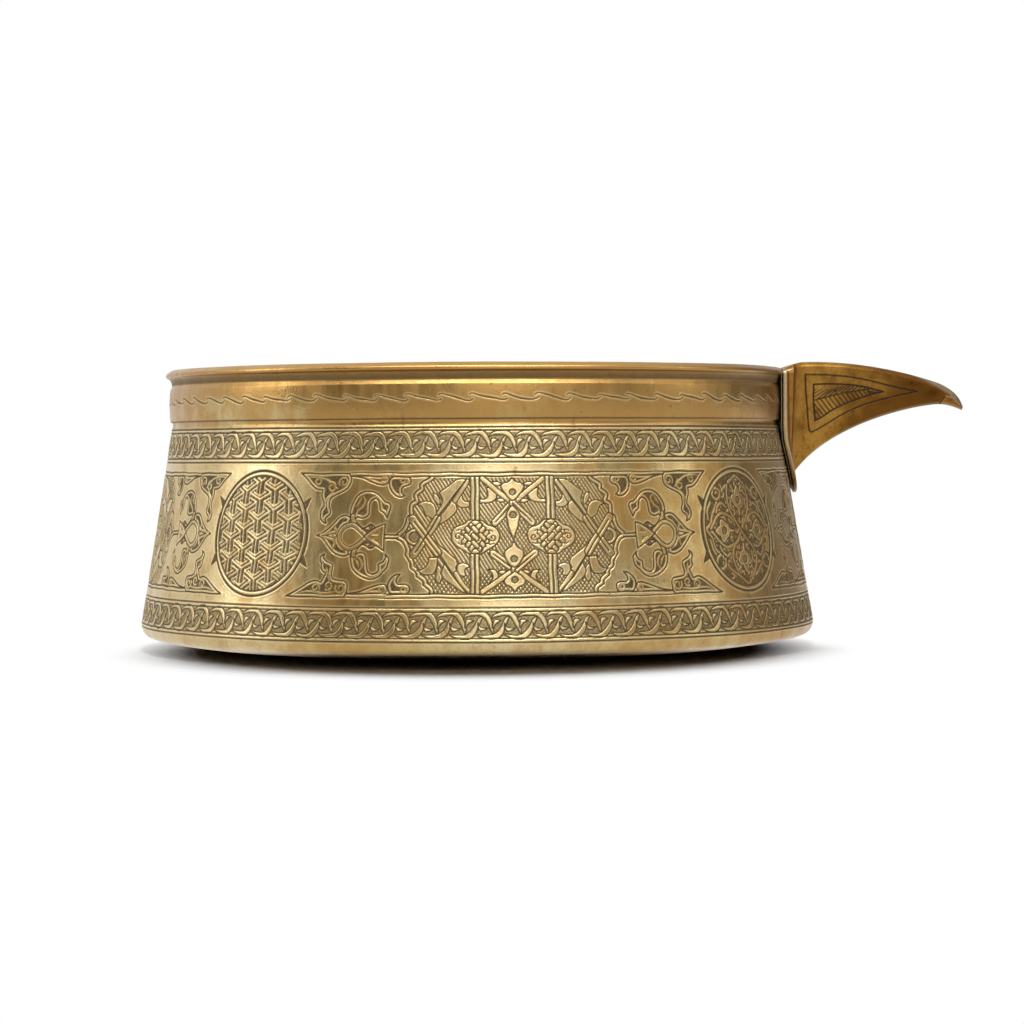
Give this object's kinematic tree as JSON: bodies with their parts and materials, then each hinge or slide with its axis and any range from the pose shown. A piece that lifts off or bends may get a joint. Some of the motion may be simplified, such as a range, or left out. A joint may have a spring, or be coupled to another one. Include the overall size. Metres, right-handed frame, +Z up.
{
  "type": "spouted bowl",
  "caption": "Low flared brass bowl with a moulded rim, engraved bands round the wall and a hollow beak-shaped pouring spout soldered on by a saddle flange.",
  "frame": {"origin": "centre of the flat resting area under the bowl, on the bowl's turning axis", "axes": "+Z up along the bowl's turning axis, +X along the spout towards its tip"},
  "size_m": [0.2455, 0.2, 0.0837],
  "materials": {
    "engraved_brass": "worn and hand engraved, darker in the cuts",
    "cast_brass": "smooth and warmer, with a brown patina",
    "hard_solder": "dull and dark, as left by the torch"
  },
  "bodies": {
    "root": {"bowl_body": "engraved_brass", "spout": "cast_brass", "solder_seam": "hard_solder"}
  },
  "joints": []
}
